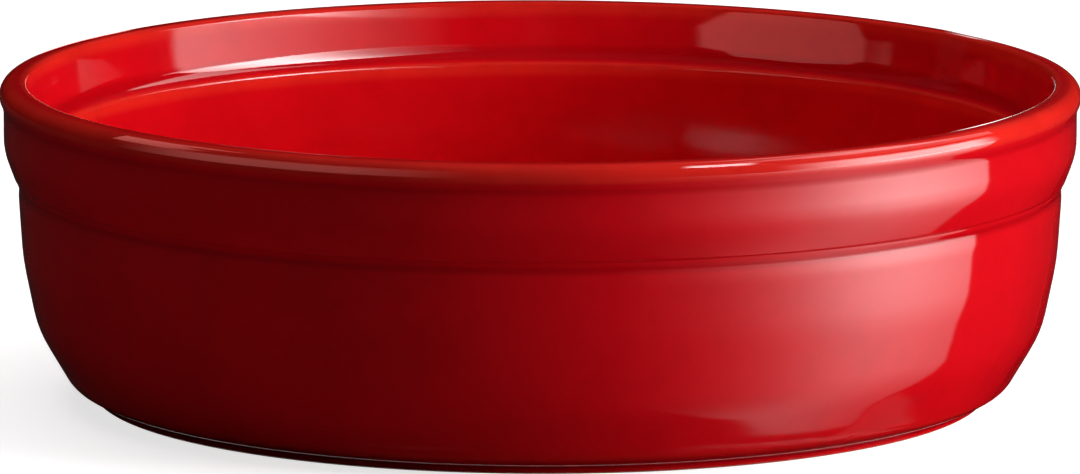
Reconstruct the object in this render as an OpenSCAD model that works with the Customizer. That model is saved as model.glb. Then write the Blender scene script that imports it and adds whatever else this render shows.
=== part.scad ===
// Individual baking dish for creme brulee, in glazed stoneware.
// It is one moulded piece, round about the Z axis: a shallow bowl with a belly
// that turns in to a low foot ring, a step with a fine bead round the outside,
// and above it a wider collar that ends in a rolled lip. Inside, the step shows
// as a narrow ledge. The origin is the centre of the base, on the table.
// All sizes are in millimetres.

/* [Overall] */
// Width across the rolled lip
lip_d = 120; // [104:1:160]
// Height from the table to the top of the lip
dish_h = 35.4; // [31:0.2:48]

/* [Lip] */
// Thickness of the rolled lip
lip_t = 3; // [2.4:0.1:3.6]
// How far the lip stands out over the collar
lip_over = 0.47; // [0.2:0.01:0.9]
// Depth of the lip's upright outer face, from its top
lip_face = 1.9; // [1.6:0.1:2.4]
// Height of the slope under the lip
lip_under = 1; // [0.7:0.1:1.6]
// Rounding where the lip's face turns under
lip_round = 1.2; // [0.4:0.1:2]
// Soft cove between the lip and the collar
lip_cove = 2.4; // [0.8:0.1:3]
// Rounding of the lip's outer top
lip_top_round = 1.5; // [0.6:0.1:1.6]
// Rounding of the lip's inner edge
lip_edge_round = 0.5; // [0.2:0.1:0.7]

/* [Collar and step outside] */
// Depth of the collar's lower shoulder, from the top of the lip
shoulder_depth = 7.5; // [6:0.1:8.6]
// Rounding of that shoulder
shoulder_round = 7; // [2:0.5:12]
// How far the body's wall lies inside the collar's
step_in = 1.63; // [1:0.01:2.6]
// How far the lower edge of the step stands out over the body's wall
edge_out = 0.45; // [0.36:0.01:0.8]
// Height of that edge above the notch
edge_up = 0.15; // [0.05:0.01:0.4]
// Rounding of that edge
edge_round = 0.2; // [0.05:0.01:0.3]

/* [Bead under the step] */
// Depth of the bead's crest, from the top of the lip
bead_depth = 11; // [10.2:0.1:13]
// How far the crest stands out over the body's wall
bead_out = 0.25; // [0.2:0.01:0.5]
// How far the notch above the bead stands out over the body's wall
notch_out = 0.15; // [0.05:0.01:0.19]
// Height from the crest up to the notch
notch_up = 0.2; // [0.1:0.01:0.5]
// Rounding of the crest and of the notch
bead_round = 0.15; // [0.05:0.01:0.3]
// Height from the crest down to the shallow groove under the bead
groove_down = 0.7; // [0.4:0.05:1.2]
// How far the groove lies inside the body's wall
groove_in = 0.07; // [0:0.01:0.2]
// Rounding of the groove
groove_round = 0.4; // [0.1:0.1:0.8]
// Height from the groove down to the body's wall
wall_down = 1.2; // [0.6:0.1:2]
// Soft cove between the groove and the body's wall
wall_round = 2; // [0.5:0.1:4]

/* [Body outside] */
// Height where the side starts to turn in
side_z = 15.7; // [12:0.1:17]
// How far the side has leaned in by that height
side_in = 0.45; // [0.2:0.05:0.8]
// Rounding of the side
side_round = 24; // [6:1:40]
// Height of the belly's turn
belly_z = 8.1; // [6.5:0.1:10]
// How far the belly has turned in by that height
belly_in = 2; // [1.4:0.05:3]
// Rounding of the belly
belly_round = 11.5; // [3:0.5:16]
// Height of the heel, where the belly turns under
heel_z = 2; // [1.5:0.1:3.4]
// How far the heel lies inside the body's wall
heel_in = 5.6; // [4.8:0.05:7]
// Rounding of the heel
heel_round = 2.9; // [0.5:0.1:4]

/* [Foot ring] */
// Height of the foot ring's outer side
foot_h = 0.8; // [0.4:0.05:1.2]
// How far the foot ring lies inside the body's wall
foot_in = 8.25; // [7.4:0.05:12]
// How far the foot ring's outer side slopes in to the table
foot_slope = 0.35; // [0:0.05:0.8]
// Width of the bare band that rests on the table
foot_w = 4.2; // [2.5:0.1:7]
// Height of the hollow under the base
hollow_h = 1.3; // [0.6:0.1:2]
// How far the inner side of the foot ring slopes
hollow_slope = 0.9; // [0.3:0.1:2]
// Rounding of the foot ring's edges
foot_round = 0.3; // [0.05:0.05:0.35]
// Cove inside the foot ring
hollow_cove = 0.8; // [0.1:0.1:1.2]

/* [Bowl inside] */
// Thickness of the wall just below the ledge
wall_t = 3.4; // [3:0.1:5]
// Depth of the ledge's inner edge, from the top of the lip
ledge_depth = 6.8; // [5.6:0.1:8.4]
// How far the ledge falls towards its inner edge
ledge_fall = 0.5; // [0.1:0.05:1]
// How far the collar leans in on the inside, from the lip to the ledge
mouth_in = 1.05; // [0.4:0.05:1.4]
// Cove between the collar and the ledge
ledge_cove = 2.2; // [0.3:0.1:2.6]
// Rounding of the ledge's inner edge
ledge_round = 0.3; // [0.1:0.05:0.8]
// Height of the bowl's floor above the table
floor_z = 5.4; // [4.5:0.1:7]
// How far the inside wall leans in, from the ledge to the floor
wall_in = 0.8; // [0:0.1:2]
// Rounding between the wall and the floor
bowl_round = 9; // [3:0.5:14]

/* [Hidden] */

// Longest turn of one straight stretch on a rounded corner, in degrees
arc_step = 5;
// Smallest turn that a corner is rounded for, in degrees
least_turn = 0.1;

// Radii of the main walls, each worked out from the one outside it
lip_r = lip_d / 2;
collar_r = lip_r - lip_over;
body_r = collar_r - step_in;
bowl_r = body_r - wall_t;
mouth_r = lip_r - lip_t;
foot_top_r = body_r - foot_in;
foot_r = foot_top_r - foot_slope;
hollow_r = foot_r - foot_w;

// Heights that are measured down from the lip
lip_turn_z = dish_h - lip_face;
lip_foot_z = lip_turn_z - lip_under;
shoulder_z = dish_h - shoulder_depth;
ledge_z = dish_h - ledge_depth;

// Heights of the step's foot, each worked out from the bead's crest
bead_z = dish_h - bead_depth;
notch_z = bead_z + notch_up;
edge_z = notch_z + edge_up;
groove_z = bead_z - groove_down;
wall_z = groove_z - wall_down;

// Point of a corner, without its rounding
function at(corner) = [corner[0], corner[1]];

// Direction from one point to another
function toward(from, to) = (to - from) / norm(to - from);

// Turn from one angle to another the short way round, in degrees
function short_turn(from, to) =
    let (turn = to - from)
    turn > 180 ? turn - 360 : turn < -180 ? turn + 360 : turn;

// Half the inside angle at corner i of an outline, 90 where it runs straight on
function half_angle(corners, i) =
    let (b = at(corners[i]))
    acos(max(-1, toward(b, at(corners[i - 1])) * toward(b, at(corners[i + 1])))) / 2;

// Length that the rounding of corner i would take off each side next to it
function wanted(corners, i) =
    corners[i][2] == 0 ? 0 : corners[i][2] / tan(half_angle(corners, i));

// Share of its wish that corner i gets on the side to its neighbour j. Both
// get all of it, unless the side is too short for the two.
function share(corners, i, j) =
    min(1, norm(at(corners[i]) - at(corners[j])) / (wanted(corners, i) + wanted(corners, j)));

// Arc that rounds corner i and touches the straight sides next to it
function corner_arc(corners, i) =
    let (
        b = at(corners[i]),
        to_last = toward(b, at(corners[i - 1])),
        to_next = toward(b, at(corners[i + 1])),
        half = half_angle(corners, i),
        fit = min(share(corners, i, i - 1), share(corners, i, i + 1)),
        cut = fit * wanted(corners, i),
        r = fit * corners[i][2],
        centre = b + toward([0, 0], to_last + to_next) * r / sin(half),
        start = b + to_last * cut - centre,
        end = b + to_next * cut - centre,
        start_angle = atan2(start[1], start[0]),
        turn = short_turn(start_angle, atan2(end[1], end[0])),
        steps = max(2, ceil(abs(turn) / arc_step))
    )
    [for (k = [0:steps])
        let (angle = start_angle + turn * k / steps)
        centre + r * [cos(angle), sin(angle)]];

// Whether corner i stays a plain point: it has no rounding or hardly turns
function plain(corners, i) =
    corners[i][2] == 0 || half_angle(corners, i) > 90 - least_turn / 2;

// Outline through corners [radius, height, rounding], each corner rounded
function rounded(corners) =
    [for (i = [0:len(corners) - 1])
        each plain(corners, i) ? [at(corners[i])] : corner_arc(corners, i)];

// Underside, from the centre out to the table: the hollow and the foot ring
underside = [
    [0, hollow_h, 0],
    [hollow_r - hollow_slope, hollow_h, hollow_cove],
    [hollow_r, 0, foot_round],
    [foot_r, 0, foot_round],
];

// Outside of the body, from the foot ring up to the bead's crest
body_outside = [
    [foot_top_r, foot_h, foot_round],
    [body_r - heel_in, heel_z, heel_round],
    [body_r - belly_in, belly_z, belly_round],
    [body_r - side_in, side_z, side_round],
    [body_r, wall_z, wall_round],
    [body_r - groove_in, groove_z, groove_round],
    [body_r + bead_out, bead_z, bead_round],
];

// Outside of the collar, from the notch above the bead up to the lip
collar_outside = [
    [body_r + notch_out, notch_z, bead_round],
    [body_r + edge_out, edge_z, edge_round],
    [collar_r, shoulder_z, shoulder_round],
    [collar_r, lip_foot_z, lip_cove],
    [lip_r, lip_turn_z, lip_round],
];

// The rolled lip, well rounded outside and with a finer edge towards the bowl
lip = [
    [lip_r, dish_h, lip_top_round],
    [mouth_r, dish_h, lip_edge_round],
];

// Inside, from the lip down over the ledge to the centre of the floor
inside = [
    [mouth_r - mouth_in, ledge_z + ledge_fall, ledge_cove],
    [bowl_r, ledge_z, ledge_round],
    [bowl_r - wall_in, floor_z, bowl_round],
    [0, floor_z, 0],
];

module dish() {
    color([0.66, 0.03, 0.06])
        rotate_extrude($fn = 240)
            polygon(rounded(concat(underside, body_outside, collar_outside, lip, inside)));
}

dish();
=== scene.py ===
"""The looks of a glazed baking dish for creme brulee: one smooth surface of revolution
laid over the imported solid, its deep red glaze, the bare clay of its foot, and a small
photographic set of a pale floor, soft lamps and reflecting cards."""

import math

import bpy
import numpy as np
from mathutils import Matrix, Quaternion, Vector


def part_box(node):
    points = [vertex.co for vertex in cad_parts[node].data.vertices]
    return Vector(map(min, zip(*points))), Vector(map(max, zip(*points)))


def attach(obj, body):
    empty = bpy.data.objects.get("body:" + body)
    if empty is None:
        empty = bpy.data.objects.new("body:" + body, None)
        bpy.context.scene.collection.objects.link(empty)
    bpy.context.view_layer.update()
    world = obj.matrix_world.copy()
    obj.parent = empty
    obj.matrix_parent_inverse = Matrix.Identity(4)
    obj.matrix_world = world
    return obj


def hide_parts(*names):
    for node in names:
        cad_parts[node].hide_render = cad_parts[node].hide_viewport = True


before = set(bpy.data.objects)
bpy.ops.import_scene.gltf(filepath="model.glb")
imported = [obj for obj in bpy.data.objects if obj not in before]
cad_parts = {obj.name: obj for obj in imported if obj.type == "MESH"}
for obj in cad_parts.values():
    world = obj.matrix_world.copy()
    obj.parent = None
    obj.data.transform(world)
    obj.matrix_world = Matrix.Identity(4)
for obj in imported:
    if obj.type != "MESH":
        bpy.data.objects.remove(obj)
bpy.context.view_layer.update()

MM = 0.001

# Main sizes of the dish in millimetres, from the frame
low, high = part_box("dish")
LIP_R = (high.x - low.x) / 2 / MM
DISH_H = high.z / MM

# Rolled lip. These sizes and all that follow are in millimetres
LIP_T = 3
LIP_OVER = 0.47
LIP_FACE = 1.9
LIP_UNDER = 1
LIP_ROUND = 1.2
LIP_COVE = 2.4
LIP_TOP_ROUND = 1.5
LIP_EDGE_ROUND = 0.5

# Collar and step, with depths from the top of the lip
SHOULDER_DEPTH = 7.5
SHOULDER_ROUND = 7
STEP_IN = 1.63
EDGE_OUT = 0.45
EDGE_UP = 0.15
EDGE_ROUND = 0.2

# Bead under the step, with the notch above it and the groove under it
BEAD_DEPTH = 11
BEAD_OUT = 0.25
BEAD_ROUND = 0.15
NOTCH_OUT = 0.15
NOTCH_UP = 0.2
GROOVE_DOWN = 0.7
GROOVE_IN = 0.07
GROOVE_ROUND = 0.4
WALL_DOWN = 1.2
WALL_ROUND = 2

# Side, belly and heel: heights, and steps in from the body's wall
SIDE_Z = 15.7
SIDE_IN = 0.45
SIDE_ROUND = 24
BELLY_Z = 8.1
BELLY_IN = 2
BELLY_ROUND = 11.5
HEEL_Z = 2
HEEL_IN = 5.6
HEEL_ROUND = 2.9

# Foot ring, and the hollow inside it
FOOT_H = 0.8
FOOT_IN = 8.25
FOOT_SLOPE = 0.35
FOOT_W = 4.2
FOOT_ROUND = 0.3
HOLLOW_H = 1.3
HOLLOW_SLOPE = 0.9
HOLLOW_COVE = 0.8

# Where the glaze ends in a soft roll above the bare clay
GLAZE_END_Z = 0.15
GLAZE_END_ROUND = 0.03
GLAZE_ROLL = 0.15
GLAZE_ROLL_UP = 0.02
GLAZE_ROLL_ROUND = 0.12
GLAZE_FOOT_ROUND = 0.4

# Bowl inside
WALL_T = 3.4
MOUTH_IN = 1.05
LEDGE_DEPTH = 6.8
LEDGE_FALL = 0.7
LEDGE_COVE = 2.4
LEDGE_ROUND = 0.15
WALL_IN = 0.8
BOWL_ROUND = 9
FLOOR_Z = 5.4

# Radii, each worked out from the one outside it
COLLAR_R = LIP_R - LIP_OVER
BODY_R = COLLAR_R - STEP_IN
BOWL_R = BODY_R - WALL_T
MOUTH_R = LIP_R - LIP_T
FOOT_TOP_R = BODY_R - FOOT_IN
FOOT_R = FOOT_TOP_R - FOOT_SLOPE
HOLLOW_R = FOOT_R - FOOT_W

# Heights that are measured down from the lip
LIP_TURN_Z = DISH_H - LIP_FACE
SHOULDER_Z = DISH_H - SHOULDER_DEPTH
LEDGE_Z = DISH_H - LEDGE_DEPTH
BEAD_Z = DISH_H - BEAD_DEPTH
NOTCH_Z = BEAD_Z + NOTCH_UP
GROOVE_Z = BEAD_Z - GROOVE_DOWN

# Rings of the mesh along the section, and its segments round the axis
RINGS = 176
SEGMENTS = 256

# Step of the fine line that the section is worked out on, and how far glaze eases it
FINE = 0.02
GLAZE_EASE = 0.12
# How far the thinning of the glaze spreads from an edge
THIN_SPREAD = 0.35


def section():
    """Corners of half the dish's section, each with its radius, height and rounding."""
    bare_r = FOOT_R + FOOT_SLOPE * GLAZE_END_Z / FOOT_H
    foot = [
        (0, HOLLOW_H, 0),
        (HOLLOW_R - HOLLOW_SLOPE, HOLLOW_H, HOLLOW_COVE),
        (HOLLOW_R, 0, FOOT_ROUND),
        (FOOT_R, 0, FOOT_ROUND),
        (bare_r, GLAZE_END_Z, GLAZE_END_ROUND),
        (bare_r + GLAZE_ROLL, GLAZE_END_Z + GLAZE_ROLL_UP, GLAZE_ROLL_ROUND),
        (FOOT_TOP_R + GLAZE_ROLL, FOOT_H, GLAZE_FOOT_ROUND),
    ]
    body = [
        (BODY_R - HEEL_IN, HEEL_Z, HEEL_ROUND),
        (BODY_R - BELLY_IN, BELLY_Z, BELLY_ROUND),
        (BODY_R - SIDE_IN, SIDE_Z, SIDE_ROUND),
        (BODY_R, GROOVE_Z - WALL_DOWN, WALL_ROUND),
        (BODY_R - GROOVE_IN, GROOVE_Z, GROOVE_ROUND),
        (BODY_R + BEAD_OUT, BEAD_Z, BEAD_ROUND),
    ]
    collar = [
        (BODY_R + NOTCH_OUT, NOTCH_Z, BEAD_ROUND),
        (BODY_R + EDGE_OUT, NOTCH_Z + EDGE_UP, EDGE_ROUND),
        (COLLAR_R, SHOULDER_Z, SHOULDER_ROUND),
        (COLLAR_R, LIP_TURN_Z - LIP_UNDER, LIP_COVE),
    ]
    lip = [
        (LIP_R, LIP_TURN_Z, LIP_ROUND),
        (LIP_R, DISH_H, LIP_TOP_ROUND),
        (MOUTH_R, DISH_H, LIP_EDGE_ROUND),
    ]
    inside = [
        (MOUTH_R - MOUTH_IN, LEDGE_Z + LEDGE_FALL, LEDGE_COVE),
        (BOWL_R, LEDGE_Z, LEDGE_ROUND),
        (BOWL_R - WALL_IN, FLOOR_Z, BOWL_ROUND),
        (0, FLOOR_Z, 0),
    ]
    return np.array(foot + body + collar + lip + inside, float)


def rounded(corners, turn=math.radians(2)):
    """Outline through the corners, each replaced by the arc that touches its two sides.

    A corner's arc takes r / tan(half its angle) off each side, and where two arcs
    would need more than the side between them, they share it in proportion.
    """
    places, wish = corners[:, :2], corners[:, 2]
    sides = np.diff(places, axis=0)
    lengths = np.hypot(*sides.T)
    ahead = sides / lengths[:, None]
    bends = np.arccos(np.clip(np.sum(ahead[:-1] * ahead[1:], axis=1), -1, 1))
    wanted = np.zeros(len(places))
    wanted[1:-1] = wish[1:-1] * np.tan(bends / 2)
    share = np.minimum(1, lengths / np.maximum(wanted[:-1] + wanted[1:], 1e-9))
    outline = [places[:1]]
    for i in range(1, len(places) - 1):
        fit = min(share[i - 1], share[i])
        start = places[i] - ahead[i - 1] * wanted[i] * fit
        side = np.sign(ahead[i - 1, 0] * ahead[i, 1] - ahead[i - 1, 1] * ahead[i, 0])
        to_centre = side * np.array([-ahead[i - 1, 1], ahead[i - 1, 0]])
        centre = start + to_centre * wish[i] * fit
        steps = np.linspace(0, side * bends[i - 1], 2 + int(bends[i - 1] / turn))
        out = start - centre
        arc = np.stack([
            out[0] * np.cos(steps) - out[1] * np.sin(steps),
            out[0] * np.sin(steps) + out[1] * np.cos(steps),
        ], axis=1)
        outline.append(centre + arc)
    outline.append(places[-1:])
    return np.concatenate(outline)


def along(points):
    """Length along a line of points, from its start."""
    return np.concatenate([[0], np.cumsum(np.hypot(*np.diff(points, axis=0).T))])


def bell(spread, reach):
    """Weights of a bell curve at the fine line's steps, out to reach on either side."""
    half = int(reach / FINE)
    weights = np.exp(-0.5 * (np.arange(-half, half + 1) * FINE / spread) ** 2)
    return half, weights / weights.sum()


def softened(outline):
    """The outline at even fine steps, with its turns eased as a glaze eases them.

    Each point becomes the mean of the outline round it, weighted by a bell curve whose
    spread is GLAZE_EASE. The ends stay where they are.
    """
    length = along(outline)
    even = np.linspace(0, length[-1], int(length[-1] / FINE))
    line = np.stack([np.interp(even, length, outline[:, k]) for k in (0, 1)], axis=1)
    half, weights = bell(GLAZE_EASE, 4 * GLAZE_EASE)
    padded = np.pad(line, ((half, half), (0, 0)), mode="reflect", reflect_type="odd")
    return np.stack([np.convolve(padded[:, k], weights, "valid") for k in (0, 1)], axis=1)


def headings(line):
    """Direction of a fine line at each of its points, as an angle that never jumps."""
    step = np.gradient(line, axis=0)
    return np.unwrap(np.arctan2(step[:, 1], step[:, 0]))


def thinned(line, count, for_turns=0.62, longest=2.2):
    """Picks count places on the line, close together where it bends.

    They lie at even steps of a sum that grows with the line's turn, which gets the
    share for_turns of them, and with its length, by one for each stretch of longest.
    """
    turned = np.concatenate([[0], np.cumsum(np.abs(np.diff(headings(line))))])
    weight = turned / turned[-1] * (count * for_turns) + along(line) / longest
    return np.interp(np.linspace(0, weight[-1], count), weight, np.arange(len(line)))


def at_steps(values, places):
    """Values of a fine line at places between its points."""
    return np.interp(places, np.arange(len(values)), values)


def dish_line():
    """The section's smooth line, and for each of its points how sharply it stands out.

    The second result is the line's turn per millimetre, eased by a bell curve whose
    spread is THIN_SPREAD: above zero on outer edges, where glaze runs thin, and below
    zero in coves, where it gathers.
    """
    line = softened(rounded(section()))
    half, weights = bell(THIN_SPREAD, 3.5 * THIN_SPREAD)
    turn = np.gradient(headings(line)) / FINE
    eased = np.convolve(np.pad(turn, half, mode="edge"), weights, "valid")
    picks = thinned(line, RINGS)
    line[0, 0] = line[-1, 0] = 0
    return np.stack([at_steps(line[:, k], picks) for k in (0, 1)], axis=1), at_steps(eased, picks)


def turned_mesh(name, line):
    """Surface of revolution: point (i, j) lies at radius line[i, 0] in the direction
    2 pi j / SEGMENTS, at height line[i, 1]. The two ends lie on the axis, and each is
    closed by a fan of triangles to one point."""
    angle = np.arange(SEGMENTS) * (2 * math.pi / SEGMENTS)
    middle = line[1:-1] * MM
    ring = np.stack([
        middle[:, :1] * np.cos(angle),
        middle[:, :1] * np.sin(angle),
        np.repeat(middle[:, 1:], SEGMENTS, axis=1),
    ], axis=-1).reshape(-1, 3)
    poles = np.array([[0, 0, line[0, 1]], [0, 0, line[-1, 1]]]) * MM
    points = np.concatenate([ring, poles])

    j = np.arange(SEGMENTS)
    after = (j + 1) % SEGMENTS
    i = np.arange(len(middle) - 1)[:, None] * SEGMENTS
    quads = np.stack([i + j, i + after, i + SEGMENTS + after, i + SEGMENTS + j], axis=-1).reshape(-1, 4)
    last = (len(middle) - 1) * SEGMENTS
    under = np.stack([np.full(SEGMENTS, len(ring)), after, j], axis=-1)
    top = np.stack([np.full(SEGMENTS, len(ring) + 1), last + j, last + after], axis=-1)

    corners = np.concatenate([quads.ravel(), under.ravel(), top.ravel()])
    sizes = np.concatenate([np.full(len(quads), 4), np.full(2 * SEGMENTS, 3)])
    mesh = bpy.data.meshes.new(name)
    mesh.vertices.add(len(points))
    mesh.vertices.foreach_set("co", points.ravel())
    mesh.loops.add(len(corners))
    mesh.loops.foreach_set("vertex_index", corners)
    mesh.polygons.add(len(sizes))
    mesh.polygons.foreach_set("loop_start", np.concatenate([[0], np.cumsum(sizes)[:-1]]))
    mesh.update(calc_edges=True)
    mesh.polygons.foreach_set("use_smooth", np.ones(len(sizes), bool))
    return mesh


def by_ring(mesh, name, values):
    """Stores one number for each ring of the turned mesh, on all its points."""
    layer = mesh.attributes.new(name, "FLOAT", "POINT")
    rings = np.repeat(values[1:-1], SEGMENTS)
    layer.data.foreach_set("value", np.concatenate([rings, values[[0, -1]]]).astype(np.float32))


class Value:
    """A shader socket that adds, subtracts, multiplies and divides as a number does."""

    def __init__(self, graph, socket):
        self.graph = graph
        self.socket = socket

    def __add__(self, other):
        return self.graph.maths("ADD", self, other)

    def __radd__(self, other):
        return self.graph.maths("ADD", other, self)

    def __sub__(self, other):
        return self.graph.maths("SUBTRACT", self, other)

    def __rsub__(self, other):
        return self.graph.maths("SUBTRACT", other, self)

    def __mul__(self, other):
        return self.graph.maths("MULTIPLY", self, other)

    def __rmul__(self, other):
        return self.graph.maths("MULTIPLY", other, self)

    def __truediv__(self, other):
        return self.graph.maths("DIVIDE", self, other)


class Graph:
    """The nodes of one material or world."""

    def __init__(self, owner):
        owner.use_nodes = True
        self.owner = owner
        self.tree = owner.node_tree
        self.tree.nodes.clear()

    def node(self, kind, settings=None, inputs=None, output=0):
        """Adds a node with its settings, then its inputs' values or links, and gives an output."""
        node = self.tree.nodes.new(kind)
        for name, value in (settings or {}).items():
            setattr(node, name, value)
        for name, value in (inputs or {}).items():
            if isinstance(value, Value):
                self.tree.links.new(value.socket, node.inputs[name])
            else:
                node.inputs[name].default_value = value
        return Value(self, node.outputs[output])

    def maths(self, operation, *values, clamp=False):
        """A Math node on sockets or numbers."""
        return self.node(
            "ShaderNodeMath",
            {"operation": operation, "use_clamp": clamp},
            dict(enumerate(values)),
        )

    def between(self, value, start, end):
        """0 up to start, 1 from end on, and a smooth rise in between."""
        return self.node(
            "ShaderNodeMapRange",
            {"interpolation_type": "SMOOTHSTEP"},
            {"Value": value, "From Min": start, "From Max": end},
        )

    def noise(self, place, scale, detail=2.0, roughness=0.5):
        """Noise from about 0 to 1 with so many waves to the metre."""
        return self.node(
            "ShaderNodeTexNoise",
            {},
            {"Vector": place, "Scale": scale, "Detail": detail, "Roughness": roughness},
        )

    def window(self, value, edges):
        """0 up to the first edge, 1 between the second and the third, and 0 from the fourth."""
        start, full, falling, end = edges
        return self.between(value, start, full) * (1 - self.between(value, falling, end))

    def mixed(self, share, first, second):
        """The first colour where share is 0 and the second where it is 1."""
        return self.node(
            "ShaderNodeMix",
            {"data_type": "RGBA"},
            {0: share, 6: first, 7: second},
            output=2,
        )

    def show(self, shader, output="ShaderNodeOutputMaterial"):
        """Links the shader to a new output node and gives the material or world."""
        end = self.tree.nodes.new(output)
        self.tree.links.new(shader.socket, end.inputs["Surface"])
        return self.owner


# Colours of the glaze and the clay, as linear red, green and blue
GLAZE_RED = (0.73, 0.004, 0.010, 1)
GLAZE_THIN = (0.85, 0.028, 0.016, 1)
GLAZE_DEEP = (0.50, 0.001, 0.005, 1)
GLAZE_IOR = 1.45
GLAZE_ROUGH = 0.05
# Turns per millimetre between which glaze gets thin on edges and deep in coves, the share
# of those colours at most, and the share of the clouding
THIN_TURNS = (0.12, 0.75)
DEEP_TURNS = (0.05, 0.5)
THIN_SHARE = 0.8
CLOUD_SHARE = 0.22
CLAY = (0.42, 0.25, 0.16, 1)
CLAY_DARK = (0.30, 0.17, 0.10, 1)

# Noises of the glaze and the clay, in waves to the metre
CLOUD = 90
MOTTLE = 420
WAVE = 55
PEEL = 900
GRAIN = 2600
# Heights of the last three, in millimetres
WAVE_H = 0.007
PEEL_H = 0.0005
GRAIN_H = 0.03


def glaze_material():
    """Deep red gloss glaze, thin and orange on edges and gathered in coves, on bare clay."""
    graph = Graph(bpy.data.materials.new("red_glaze"))
    place = graph.node("ShaderNodeTexCoord", output=3)
    edge = graph.node("ShaderNodeAttribute", {"attribute_name": "edge"}, output=2)
    bare = graph.node("ShaderNodeAttribute", {"attribute_name": "bare"}, output=2)

    thin = graph.between(edge, *THIN_TURNS)
    deep = graph.between(0 - edge, *DEEP_TURNS)
    cloud = graph.noise(place, CLOUD, detail=3)
    mottle = graph.noise(place, MOTTLE, detail=2)
    clouding = graph.between(0.7 * cloud + 0.3 * mottle, 0.42, 0.62)
    red = graph.mixed(THIN_SHARE * thin, GLAZE_RED, GLAZE_THIN)
    red = graph.mixed(THIN_SHARE * deep, red, GLAZE_DEEP)
    red = graph.mixed(CLOUD_SHARE * clouding, red, GLAZE_DEEP)

    grain = graph.noise(place, GRAIN, detail=3)
    clay = graph.mixed(graph.between(grain, 0.35, 0.65), CLAY, CLAY_DARK)

    wave = graph.noise(place, WAVE, detail=1)
    peel = graph.noise(place, PEEL, detail=1)
    rise = (wave * WAVE_H + peel * PEEL_H) * (1 - bare) + grain * GRAIN_H * bare
    bump = graph.node("ShaderNodeBump", {}, {"Height": rise, "Strength": 1.0, "Distance": MM})
    body = graph.node("ShaderNodeBsdfPrincipled", {}, {
        "Base Color": graph.mixed(bare, red, clay),
        "Roughness": GLAZE_ROUGH + 0.02 * cloud + 0.75 * bare,
        "IOR": GLAZE_IOR,
        "Normal": bump,
    })
    return graph.show(body)


dish_points, dish_edges = dish_line()
dish = bpy.data.objects.new("glazed_dish", turned_mesh("glazed_dish", dish_points))
bpy.context.scene.collection.objects.link(dish)
by_ring(dish.data, "edge", dish_edges)
on_foot = (dish_points[:, 1] < GLAZE_END_Z) & (dish_points[:, 0] > HOLLOW_R - 1)
by_ring(dish.data, "bare", on_foot.astype(float))
dish.data.materials.append(glaze_material())
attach(dish, "root")
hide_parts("dish")

# The camera of the photograph, fitted to the dish's outline there
VIEW_ELEVATION = math.radians(9.59)
VIEW_DISTANCE = 1.5
VIEW_AIM = Vector((0, 0, 17.61 * MM))
VIEW_ROLL = math.radians(0.11)
VIEW_SCALE = 8.997
FRAME_WIDE = 1080
SENSOR = 36.0


def set_camera():
    """Looks along +Y and down at the dish, with the lens that gives VIEW_SCALE pixels
    to the millimetre at the aim, in a frame FRAME_WIDE pixels wide."""
    camera = bpy.data.cameras.new("camera")
    camera.sensor_width = SENSOR
    camera.lens = VIEW_SCALE * VIEW_DISTANCE / MM / FRAME_WIDE * SENSOR
    camera.clip_start = 0.1
    camera.clip_end = 50
    rig = bpy.data.objects.new("camera", camera)
    back = Vector((0, -math.cos(VIEW_ELEVATION), math.sin(VIEW_ELEVATION)))
    rig.location = VIEW_AIM + back * VIEW_DISTANCE
    tilt = Quaternion((1, 0, 0), math.pi / 2 - VIEW_ELEVATION)
    rig.rotation_mode = "QUATERNION"
    rig.rotation_quaternion = tilt @ Quaternion((0, 0, 1), VIEW_ROLL)
    bpy.context.scene.collection.objects.link(rig)
    bpy.context.scene.camera = rig


set_camera()


def toward(azimuth, elevation):
    """Direction at an azimuth to the right of the camera and an elevation, in degrees."""
    a, e = math.radians(azimuth), math.radians(elevation)
    return Vector((math.sin(a) * math.cos(e), -math.cos(a) * math.cos(e), math.sin(e)))


def lamp(name, azimuth, elevation, distance, size, glow):
    """A soft rectangular lamp that faces the dish from a distance in metres. Its glow is
    its own brightness, where 1 is a white sheet in full light. It isn't seen itself."""
    light = bpy.data.lights.new(name, "AREA")
    light.shape = "RECTANGLE"
    light.size, light.size_y = size
    light.energy = glow * math.pi * size[0] * size[1]
    lamp_object = bpy.data.objects.new(name, light)
    back = toward(azimuth, elevation)
    lamp_object.location = VIEW_AIM + back * distance
    lamp_object.rotation_mode = "QUATERNION"
    lamp_object.rotation_quaternion = back.to_track_quat("Z", "Y")
    lamp_object.visible_camera = False
    lamp_object.visible_glossy = False
    bpy.context.scene.collection.objects.link(lamp_object)


def show_to_glaze_only(thing):
    """Leaves a piece of the set to be seen in glossy surfaces, and nowhere else."""
    thing.visible_camera = False
    thing.visible_diffuse = False
    thing.visible_shadow = False
    thing.visible_transmission = False


WHITE = (1, 1, 1, 1)
WARM = (1, 0.31, 0.28, 1)


def lit_sheet(name, points, faces, glow, colour=WHITE):
    """A sheet that is seen only in the glaze. Its glow is worked out from the place on
    it: glow(graph, x, y, z, inside), in millimetres, where inside is 1 on the side that
    faces away from its normal."""
    mesh = bpy.data.meshes.new(name)
    mesh.from_pydata(points, [], faces)
    sheet = bpy.data.objects.new(name, mesh)
    bpy.context.scene.collection.objects.link(sheet)
    graph = Graph(bpy.data.materials.new(name))
    place = graph.node("ShaderNodeTexCoord", output=3)
    x = graph.node("ShaderNodeSeparateXYZ", {}, {0: place})
    y, z = (Value(graph, output) for output in x.socket.node.outputs[1:])
    inside = graph.node("ShaderNodeNewGeometry", output=6)
    strength = glow(graph, x / MM, y / MM, z / MM, inside)
    light = graph.node("ShaderNodeEmission", {}, {"Color": colour, "Strength": strength})
    mesh.materials.append(graph.show(light))
    show_to_glaze_only(sheet)


# Radius of the bands round the rim, and the height of their lower edge
BAND_R = 64
BAND_FOOT_Z = 33.6


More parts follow.
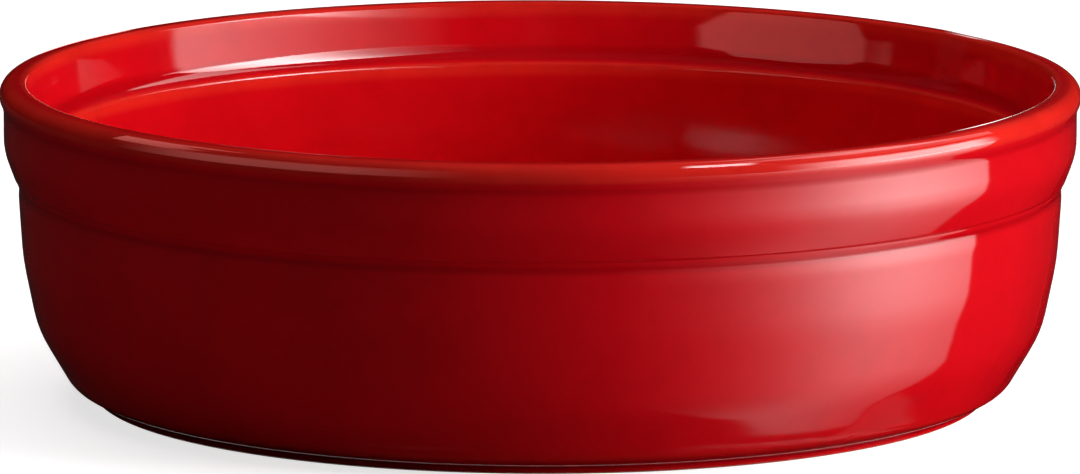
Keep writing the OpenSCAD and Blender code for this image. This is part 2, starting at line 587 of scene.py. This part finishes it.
def rim_band(name, turn_from, turn_to, head_z, glow, colour=WHITE, steps=48):
    """A lit sheet that stands round the rim, from one turn to another, in degrees to the
    right from the front, up to a height. Its normals face away from the dish."""
    turns = np.radians(np.linspace(turn_from, turn_to, steps + 1))
    across = BAND_R * np.column_stack([np.sin(turns), -np.cos(turns)])
    foot = np.column_stack([across, np.full(len(turns), BAND_FOOT_Z)])
    head = foot + [0, 0, head_z - BAND_FOOT_Z]
    k = np.arange(steps)
    n = steps + 1
    faces = np.column_stack([k, k + 1, k + 1 + n, k + n])
    lit_sheet(name, (np.concatenate([foot, head]) * MM).tolist(), faces.tolist(), glow, colour)


def turn_of(graph, x, y):
    """How far round a place lies, in degrees to the right from the front."""
    return graph.maths("ARCTAN2", x, 0 - y) * (180 / math.pi)


def in_metres(corners):
    """Corners given in millimetres, in metres."""
    return [tuple(v * MM for v in corner) for corner in corners]


def flat_ring(name, inner, outer, height, sides=96):
    """A level ring between the radii inner and outer, in millimetres, that faces up."""
    angle = np.arange(sides) * (2 * math.pi / sides)
    circle = np.column_stack([np.cos(angle), np.sin(angle)])
    rings = np.concatenate([circle * inner, circle * outer])
    points = np.column_stack([rings, np.full(len(rings), height)]) * MM
    k = np.arange(sides)
    after = (k + 1) % sides
    mesh = bpy.data.meshes.new(name)
    mesh.from_pydata(points.tolist(), [], np.column_stack([k, k + sides, after + sides, after]).tolist())
    ring = bpy.data.objects.new(name, mesh)
    bpy.context.scene.collection.objects.link(ring)
    return ring


def glossy_mix(graph, plain, shine=None):
    """A blurred gloss over the plain shader, by Fresnel's law, where shine lets it."""
    gloss = graph.node("ShaderNodeBsdfAnisotropic", {}, {"Roughness": FLOOR_BLUR})
    sheen = graph.node("ShaderNodeFresnel", {}, {"IOR": FLOOR_IOR})
    share = sheen * shine if shine else sheen
    return graph.node("ShaderNodeMixShader", {}, {0: share, 1: plain, 2: gloss})


def dark_reflection_sheet():
    """A round black glossy sheet round the dish's foot, seen only in the glaze: a painted dark reflection
    where the glaze would show the pale floor.
    """
    sheet = flat_ring("dark_reflection_sheet", FOOT_R + FOOT_GAP, DARK_REACH, DARK_Z)
    graph = Graph(bpy.data.materials.new("painted_dark_reflection"))
    black = graph.node("ShaderNodeBsdfDiffuse", {}, {"Color": (0, 0, 0, 1)})
    sheet.data.materials.append(graph.show(glossy_mix(graph, black)))
    show_to_glaze_only(sheet)


# Black sheet seen only in the glaze, a painted dark reflection round the foot: its gap to the foot, its
# radius and its height
FOOT_GAP = 0.1
DARK_REACH = 900
DARK_Z = 0.05

# Floor: its radius, how far its hole reaches in under the foot ring, and its looks
FLOOR_REACH = 12000
FLOOR_LAP = 0.35
FLOOR_PALE = (0.86, 0.86, 0.86, 1)
FLOOR_BOUNCE = (0.4, 0.4, 0.4, 1)
FLOOR_GLOW = 0.72
FLOOR_BLUR = 0.07
FLOOR_IOR = 1.6


def floor_material():
    """A pale matt floor with a gloss that only the glaze sees. It returns little stray
    light, and it is clear from below, so that the underside can be looked at."""
    graph = Graph(bpy.data.materials.new("pale_floor"))
    path = graph.node("ShaderNodeLightPath")
    outs = {o.name: Value(graph, o) for o in path.socket.node.outputs}
    camera, glossy = outs["Is Camera Ray"], outs["Is Glossy Ray"]
    seen = graph.maths("MAXIMUM", graph.maths("MAXIMUM", camera, glossy), outs["Is Transmission Ray"])
    colour = graph.mixed(seen, FLOOR_BOUNCE, FLOOR_PALE)
    matt = graph.node("ShaderNodeBsdfDiffuse", {}, {"Color": colour})
    glow = graph.node("ShaderNodeEmission", {}, {"Strength": seen * FLOOR_GLOW})
    pale = graph.node("ShaderNodeAddShader", {}, {0: matt, 1: glow})
    top = glossy_mix(graph, pale, glossy)
    clear = graph.node("ShaderNodeBsdfTransparent")
    back = graph.node("ShaderNodeNewGeometry", output=6)
    return graph.show(graph.node("ShaderNodeMixShader", {}, {0: back, 1: top, 2: clear}))


def make_floor():
    """A wide pale floor in the plane that the foot stands on. It is open under the foot
    ring, so that a lamp below can light the underside."""
    floor = flat_ring("floor", FOOT_R - FLOOR_LAP, FLOOR_REACH, 0)
    floor.data.materials.append(floor_material())


make_floor()
# Painted dark reflection: a black sheet round the foot that only the glaze sees
dark_reflection_sheet()

lamp("overhead_lamp", azimuth=175, elevation=80, distance=0.7, size=(0.85, 0.85), glow=1.3)
lamp("key_lamp", azimuth=71, elevation=14, distance=0.45, size=(0.23, 0.15), glow=16.5)
lamp("under_lamp", azimuth=20, elevation=-55, distance=0.5, size=(0.4, 0.4), glow=4)


# Softbox to the right of the dish, in the plane PANEL_X, lit by a bulb behind it
PANEL_X = 337
PANEL_END_Y = 84
BULB_Y = -85
BULB_REACH = 171
BULB_GLOW = 25


def panel_glow(graph, x, y, z, inside):
    """The softbox's main part: by distance d from the bulb's place, its glow falls as
    (1 + (d / reach) ^ 2) ^ -1.5, and it ends softly towards the back."""
    away = (y - BULB_Y) / BULB_REACH
    fall = graph.maths("POWER", away * away + 1, -1.5)
    return BULB_GLOW * fall * (1 - graph.between(y, PANEL_END_Y - 6, PANEL_END_Y))


# Rear parts of the softbox: their glow, the slope of the lower edge, and the places
# where they begin and fade
REAR_GLOW = 3.4
REAR_SLOPE = 0.35
REAR_FOOT = (233, 255)
REAR_FADE = (500, 1250)
FAR_SIDES = (250, 400, 1050, 1200)
FAR_FADE = (1200, 2600)


def back_panel_glow(graph, x, y, z, inside):
    """The softbox's rear part, which the cove over the ledge sees."""
    rise = graph.between(z - REAR_SLOPE * y, *REAR_FOOT) * (1 - graph.between(z, *REAR_FADE))
    return REAR_GLOW * rise * graph.between(y, PANEL_END_Y, PANEL_END_Y + 8)


def high_panel_glow(graph, x, y, z, inside):
    """The softbox's far end, which the lowest part of the cove sees."""
    return REAR_GLOW * graph.window(x, FAR_SIDES) * (1 - graph.between(z, *FAR_FADE))


# Light on the right band for the wall: the turn where it starts, the turn it takes to
# grow to its gain by a power, its limit, and the turn where it ends
RIGHT_FROM = 28
RIGHT_SPAN = 92
RIGHT_POWER = 1.3
RIGHT_GAIN = 3.5
RIGHT_LIMIT = 3.4
RIGHT_END = 131.5
# Heights between which it grows by a share and reaches further round, by a turn
RIGHT_UPPER = (50, 60)
RIGHT_UPPER_GAIN = 0.3
RIGHT_UPPER_TURN = 12
# Height of its foot, which dips between two turns for the lip's inner edge
RIGHT_FOOT_Z = 40.6
RIGHT_DIP = 4
RIGHT_DIP_TURNS = (100, 118)

# Light on the left band for the wall: its glow at turn 0 and its loss for each degree
LEFT_GLOW = 4.4
LEFT_LOSS = 0.02
# Height of its head, and two rises of the head, each between two turns
LEFT_HEAD_Z = 47.5
LEFT_FIRST_RISE = 14
LEFT_FIRST_TURNS = (46, 64)
LEFT_SECOND_RISE = 40
LEFT_SECOND_TURNS = (62, 75)
# The slope that ends it: its lowest height, and its fall between two turns
LEFT_TAIL_Z = 41
LEFT_TAIL_FALL = 60
LEFT_TAIL_TURNS = (99, 116)
# Heights between which it begins
LEFT_FOOT = (39.2, 40.6)

# How softly each edge of a light runs out, from before it to past it
SOFT_END = (-2, 3)
SOFT_FOOT = (0, 1.4)
SOFT_HEAD = (-1, 3)
SOFT_TAIL = (-1, 4)

# Turns, in degrees, between which lights near the rim begin, are full, fall and end
LIP_LIGHT = (26, 40, 55, 62)
LIP_SHEEN = (6, 24, 38, 56)
EDGE_LIGHT = (116, 122, 130, 134)
LEFT_WALL_LIGHT = (44, 50, 123, 127)
SPOT_LIGHT = (16, 18, 23.5, 26)
# Heights between which the lip's light, its sheen and its inner edge's light end
LIP_LIGHT_HEAD = (36.6, 39)
LIP_SHEEN_HEAD = (38, 42)
EDGE_LIGHT_HEAD = (36, 36.3)


def right_band_glow(graph, x, y, z, inside):
    """The softbox as the far inner wall sees it, and low down the light that the lip shows.

    The wall's light grows with the turn up to its limit, grows a little more and reaches
    further round high up, and its foot dips where the inner lip sees it.
    """
    turn = graph.maths("FLOORED_MODULO", turn_of(graph, x, y), 360)
    swing = graph.maths("MAXIMUM", (turn - RIGHT_FROM) / RIGHT_SPAN, 0)
    wall = graph.maths("MINIMUM", graph.maths("POWER", swing, RIGHT_POWER) * RIGHT_GAIN, RIGHT_LIMIT)
    upper = graph.between(z, *RIGHT_UPPER)
    end = RIGHT_END + RIGHT_UPPER_TURN * upper
    wall = wall * (1 + upper * RIGHT_UPPER_GAIN) * (1 - graph.between(turn - end, *SOFT_END))
    foot = RIGHT_FOOT_Z - RIGHT_DIP * graph.between(turn, *RIGHT_DIP_TURNS)
    wall = wall * graph.between(z - foot, *SOFT_FOOT)
    face = 10 * graph.window(turn, LIP_LIGHT) * (1 - graph.between(z, *LIP_LIGHT_HEAD))
    edge = 2.5 * graph.window(turn, EDGE_LIGHT) * (1 - graph.between(z, *EDGE_LIGHT_HEAD))
    return (wall + face + edge) * inside


def left_band_glow(graph, x, y, z, inside):
    """A dim warm reflector whose head slants up and then ends in a slope, with a faint
    low sheen for the lip and a light for its inner edge."""
    turn = 0 - turn_of(graph, x, y)
    first = LEFT_FIRST_RISE * graph.between(turn, *LEFT_FIRST_TURNS)
    second = LEFT_SECOND_RISE * graph.between(turn, *LEFT_SECOND_TURNS)
    head = LEFT_HEAD_Z + first + second
    tail = LEFT_TAIL_Z + LEFT_TAIL_FALL * (1 - graph.between(turn, *LEFT_TAIL_TURNS))
    wall = LEFT_GLOW - LEFT_LOSS * turn
    wall = wall * (1 - graph.between(z - head, *SOFT_HEAD)) * (1 - graph.between(z - tail, *SOFT_TAIL))
    wall = wall * graph.window(turn, LEFT_WALL_LIGHT) * graph.between(z, *LEFT_FOOT)
    sheen = 3 * graph.window(turn, LIP_SHEEN) * (1 - graph.between(z, *LIP_SHEEN_HEAD))
    edge = 6 * graph.window(turn, EDGE_LIGHT) * (1 - graph.between(z, *EDGE_LIGHT_HEAD))
    return (wall + sheen + edge) * inside


def spot_glow(graph, x, y, z, inside):
    """The small bright light over the front of the lip, seen from below."""
    return 15 * graph.window(turn_of(graph, x, y), SPOT_LIGHT) * inside


def no_glow(graph, x, y, z, inside):
    """A black sheet: a painted dark reflection."""
    return inside * 0


def rim_sheet(name, turn_from, turn_to, height, inner, outer, glow, steps=180):
    """A level sheet over the rim that only the glaze sees, from one turn to another.
    Its two radii follow inner and outer, lists of turns and radii, in degrees and
    millimetres."""
    turns = np.linspace(turn_from, turn_to, steps + 1)
    circle = np.column_stack([np.sin(np.radians(turns)), -np.cos(np.radians(turns))])
    radii = [np.interp(turns, *np.array(rule, float).T)[:, None] for rule in (inner, outer)]
    points = np.concatenate([circle * radii[0], circle * radii[1]])
    points = np.column_stack([points, np.full(len(points), height)]) * MM
    k = np.arange(steps)
    n = steps + 1
    faces = np.column_stack([k, k + n, k + n + 1, k + 1])
    lit_sheet(name, points.tolist(), faces.tolist(), glow)


PANEL = [
    (PANEL_X, -1100, 2), (PANEL_X, PANEL_END_Y, 2), (PANEL_X, PANEL_END_Y, 352),
    (PANEL_X, -81, 518), (PANEL_X, -258, 643), (PANEL_X, -1100, 1000),
]
BACK_PANEL = [
    (PANEL_X, PANEL_END_Y, 200), (PANEL_X, 1300, 200), (PANEL_X, 1300, 1300), (PANEL_X, PANEL_END_Y, 1300),
]
HIGH_PANEL = [(250, 1500, 850), (1200, 1500, 850), (1200, 1500, 2900), (250, 1500, 2900)]
for name, corners, glow in (
    ("side_panel", PANEL, panel_glow),
    ("back_panel", BACK_PANEL, back_panel_glow),
    ("high_panel", HIGH_PANEL, high_panel_glow),
):
    lit_sheet(name, in_metres(corners), [tuple(range(len(corners)))], glow)
rim_band("right_band", turn_from=5, turn_to=200, head_z=60, glow=right_band_glow)
rim_band("left_band", turn_from=-146, turn_to=-5, head_z=150, glow=left_band_glow, colour=WARM)

# Black sheet over the lip that only the glaze sees, a painted dark reflection: its height over the rim,
# its inner radius, and its outer radius by the turn in degrees. It stands back where the lip shows a light
DARK_LIP_UP = 0.6
DARK_LIP_INNER = 54.6
DARK_LIP_REACH = [
    (-150, 59), (-124, 59), (-118, 62.4), (-56, 62.8), (-50, 59), (0, 58.8), (8, 58.3),
    (35, 58.3), (44, 59), (56, 59.4), (61, 62.4), (118, 62.4), (124, 59), (210, 59),
]
rim_sheet("lip_dark_reflection", -150, 210, DISH_H + DARK_LIP_UP, [(0, DARK_LIP_INNER)], DARK_LIP_REACH, no_glow)

# Small card over the front of the lip: its height and its two radii
SPOT_Z = 41
SPOT_INNER = 60.1
SPOT_OUTER = 62.8
rim_sheet("spot_card", 15, 27, SPOT_Z, [(15, SPOT_INNER)], [(15, SPOT_OUTER)], spot_glow, steps=12)

ROOM_GLOW = 0.032
world = bpy.data.worlds.new("world")
bpy.context.scene.world = world
room = Graph(world)
air = room.node("ShaderNodeBackground", {}, {"Color": WHITE, "Strength": ROOM_GLOW})
room.show(air, "ShaderNodeOutputWorld")

bpy.context.scene.view_settings.view_transform = "Standard"
